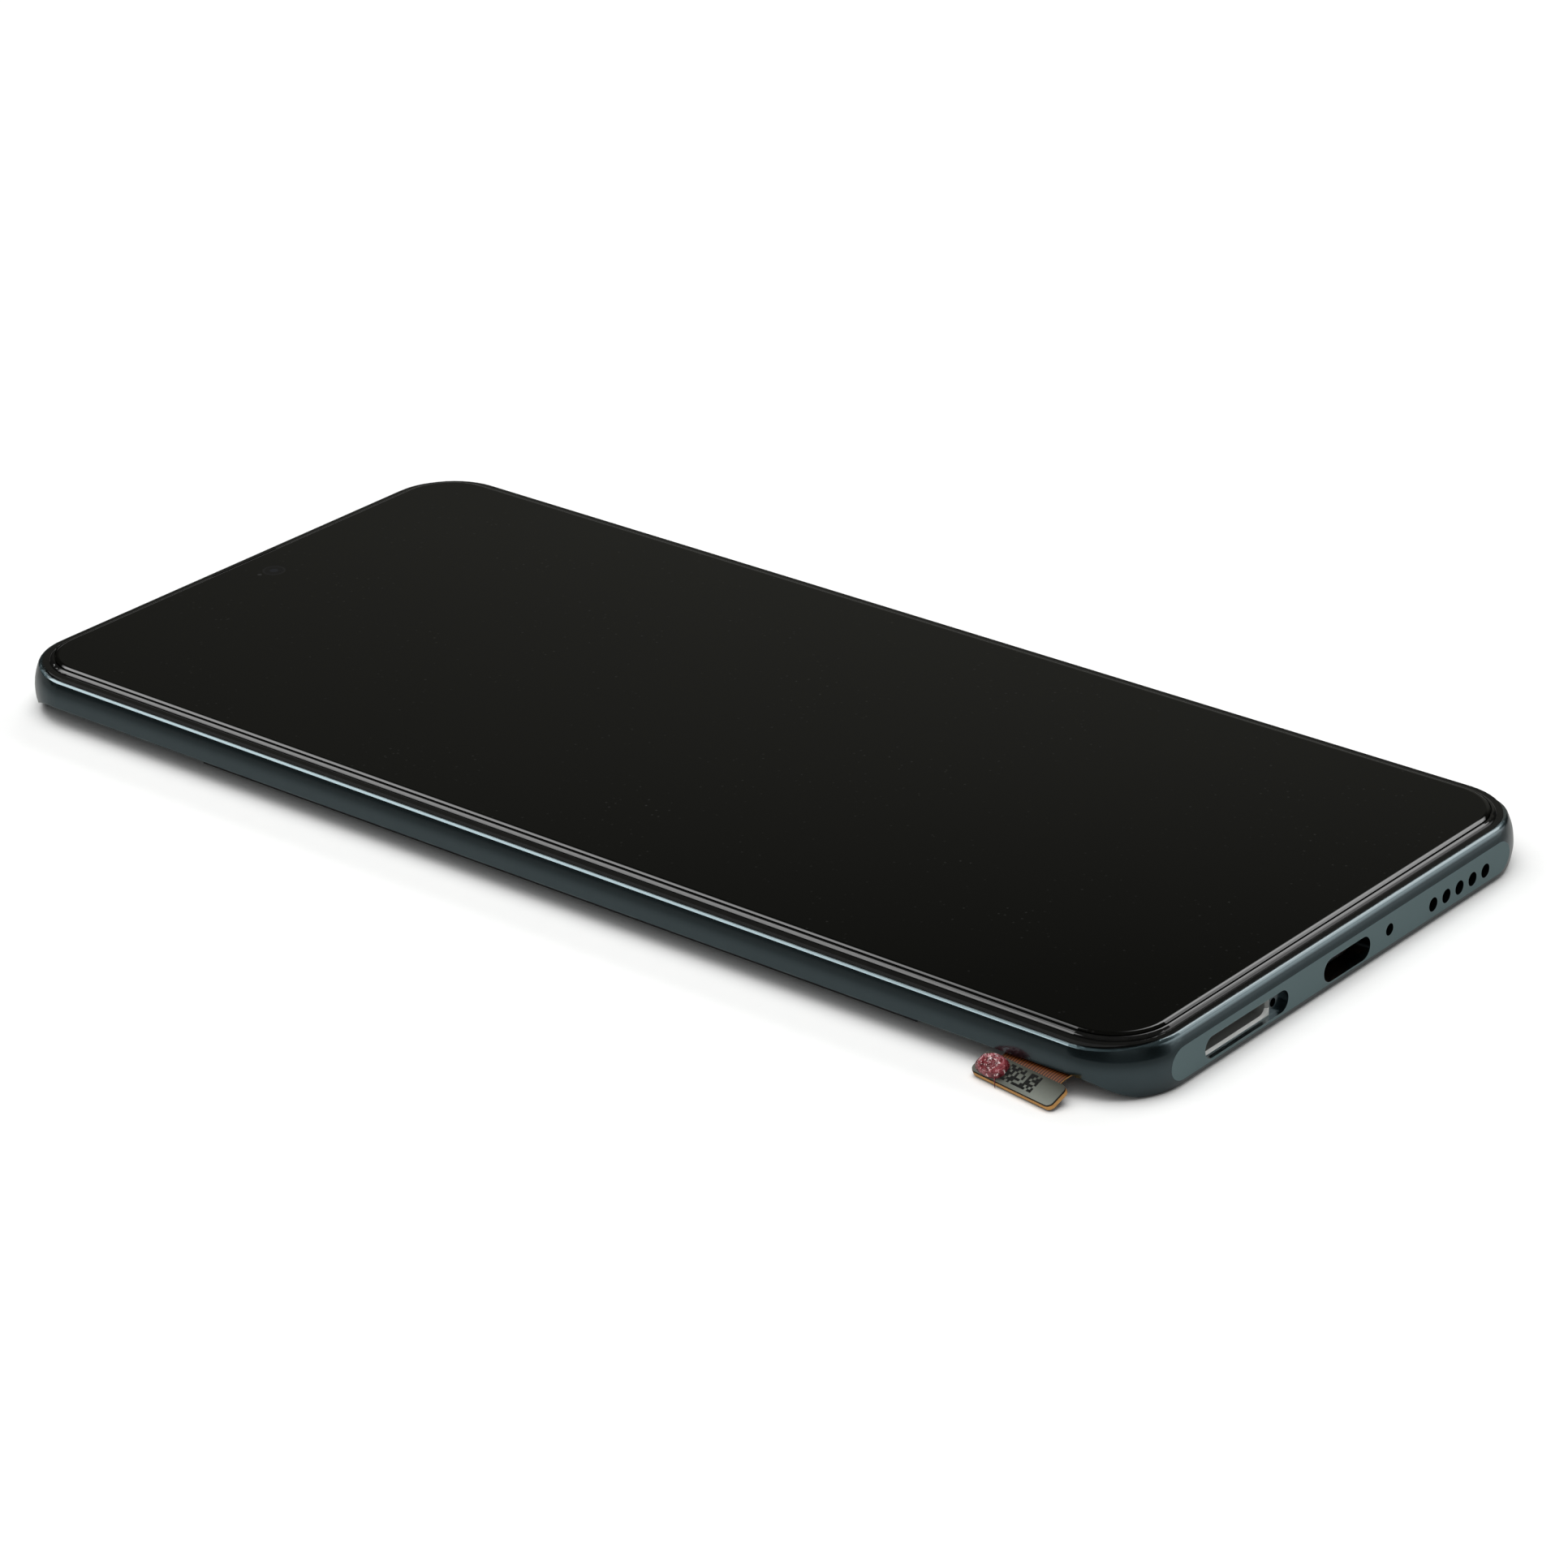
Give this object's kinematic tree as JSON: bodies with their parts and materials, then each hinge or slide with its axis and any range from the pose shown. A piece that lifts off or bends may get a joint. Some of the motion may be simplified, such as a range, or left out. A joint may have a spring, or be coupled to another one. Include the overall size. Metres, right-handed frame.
{
  "type": "phone display assembly",
  "caption": "Phone screen assembly: flat cover glass with rounded rim over a display stack in a bulged metal frame with a port end, and a folded display ribbon ending in a board connector.",
  "frame": {"origin": "centre of the metal frame's outline, at the level of its rear edge", "axes": "+X along the phone towards the port end, +Y towards the long side away from the ribbon's tail, +Z out of the screen"},
  "size_m": [0.1644, 0.0805, 0.0066],
  "materials": {
    "frame_metal": "gloss paint, finer and matter on the port end's flat",
    "plate_metal": "matt, as pressed",
    "battery_frame": "matt moulded",
    "post_plastic": "matt moulded",
    "bezel_black": "satin to gloss",
    "tape_black": "matt foam tape",
    "cover_glass": "polished",
    "ink_black": "print",
    "adhesive_clear": "clear",
    "polarizer_dark": "smooth film",
    "filter_glass": "polished",
    "array_glass": "polished",
    "polarizer_rear": "smooth film",
    "prism_film": "pearl",
    "diffuser_film": "matt",
    "guide_acrylic": "polished",
    "reflector_film": "silvered",
    "tray_steel": "pressed",
    "moulding_white": "matt moulded",
    "led_yellow": "phosphor",
    "strip_film": "white film",
    "chip_black": "polished die",
    "foam_black": "matt foam",
    "graphite": "dull sheen",
    "gasket_black": "matt",
    "ribbon_film": "amber film over copper",
    "part_black": "moulded",
    "stiffener_steel": "dull rolled",
    "connector_black": "matt moulded",
    "lacquer_pink": "wet gloss, wrinkled",
    "mesh_black": "woven"
  },
  "bodies": {
    "root": {"side_frame": "frame_metal", "mid_plate": "plate_metal", "battery_frame": "battery_frame", "screw_posts": "post_plastic", "bezel_ring": "bezel_black", "perimeter_tape": "tape_black", "cover_glass": "cover_glass", "border_ink": "ink_black", "optical_adhesive": "adhesive_clear", "front_polarizer": "polarizer_dark", "colour_filter_glass": "filter_glass", "array_glass": "array_glass", "rear_polarizer": "polarizer_rear", "prism_film_upper": "prism_film", "prism_film_lower": "prism_film", "diffuser_film": "diffuser_film", "light_guide": "guide_acrylic", "reflector_film": "reflector_film", "backlight_tray": "tray_steel", "panel_moulding": "moulding_white", "led_row": "led_yellow", "led_strip": "strip_film", "driver_chip": "chip_black", "cushion_frame": "foam_black", "graphite_sheet": "graphite", "camera_gasket": "gasket_black", "display_flex": "ribbon_film", "flex_parts": "part_black", "stiffener_plate": "stiffener_steel", "board_connector": "connector_black", "lacquer_drop": "lacquer_pink", "speaker_mesh": "mesh_black", "mic_mesh": "mesh_black", "earpiece_mesh": "mesh_black"}
  },
  "joints": []
}
